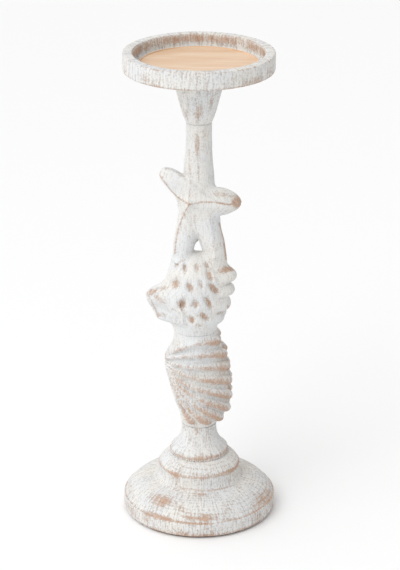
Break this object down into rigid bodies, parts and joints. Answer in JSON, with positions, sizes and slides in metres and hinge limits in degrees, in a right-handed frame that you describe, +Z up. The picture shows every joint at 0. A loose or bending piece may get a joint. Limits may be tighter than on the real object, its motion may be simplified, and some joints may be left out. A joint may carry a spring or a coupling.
{
  "type": "candlestick",
  "caption": "Tall whitewashed wooden candlestick: turned base, carved scallop, conch and starfish stem, and a shallow round dish with a loose drip plate for a pillar candle.",
  "frame": {"origin": "middle of the foot, on the surface that it stands on", "axes": "+Z up the turned axis, carved fronts face -Y, +X to the right of someone looking at the front"},
  "size_m": [0.128, 0.128, 0.4],
  "materials": {
    "whitewashed_wood": "matt whitewash rubbed through to tan wood on the edges",
    "beech": "plain dowel",
    "plated_steel": "zinc plated",
    "plate_metal": "satin champagne lacquer",
    "felt": "felt"
  },
  "bodies": {
    "stand": {"felt_pad": "felt", "base": "whitewashed_wood", "base_washer": "plated_steel", "base_screw": "plated_steel", "pedestal": "whitewashed_wood", "foot_dowel": "beech", "scallop": "whitewashed_wood", "neck_dowel": "beech", "conch": "whitewashed_wood", "leg_dowels": "beech", "starfish_shaft": "whitewashed_wood", "shaft_dowel": "beech", "capital": "whitewashed_wood", "candle_dish": "whitewashed_wood", "dish_screw": "plated_steel"},
    "plate": {"drip_plate": "plate_metal"}
  },
  "joints": [
    {"name": "plate_lift", "type": "slide", "parent": "stand", "child": "plate", "axis": [0, 0, 1], "range_m": [0, 0.03]}
  ]
}
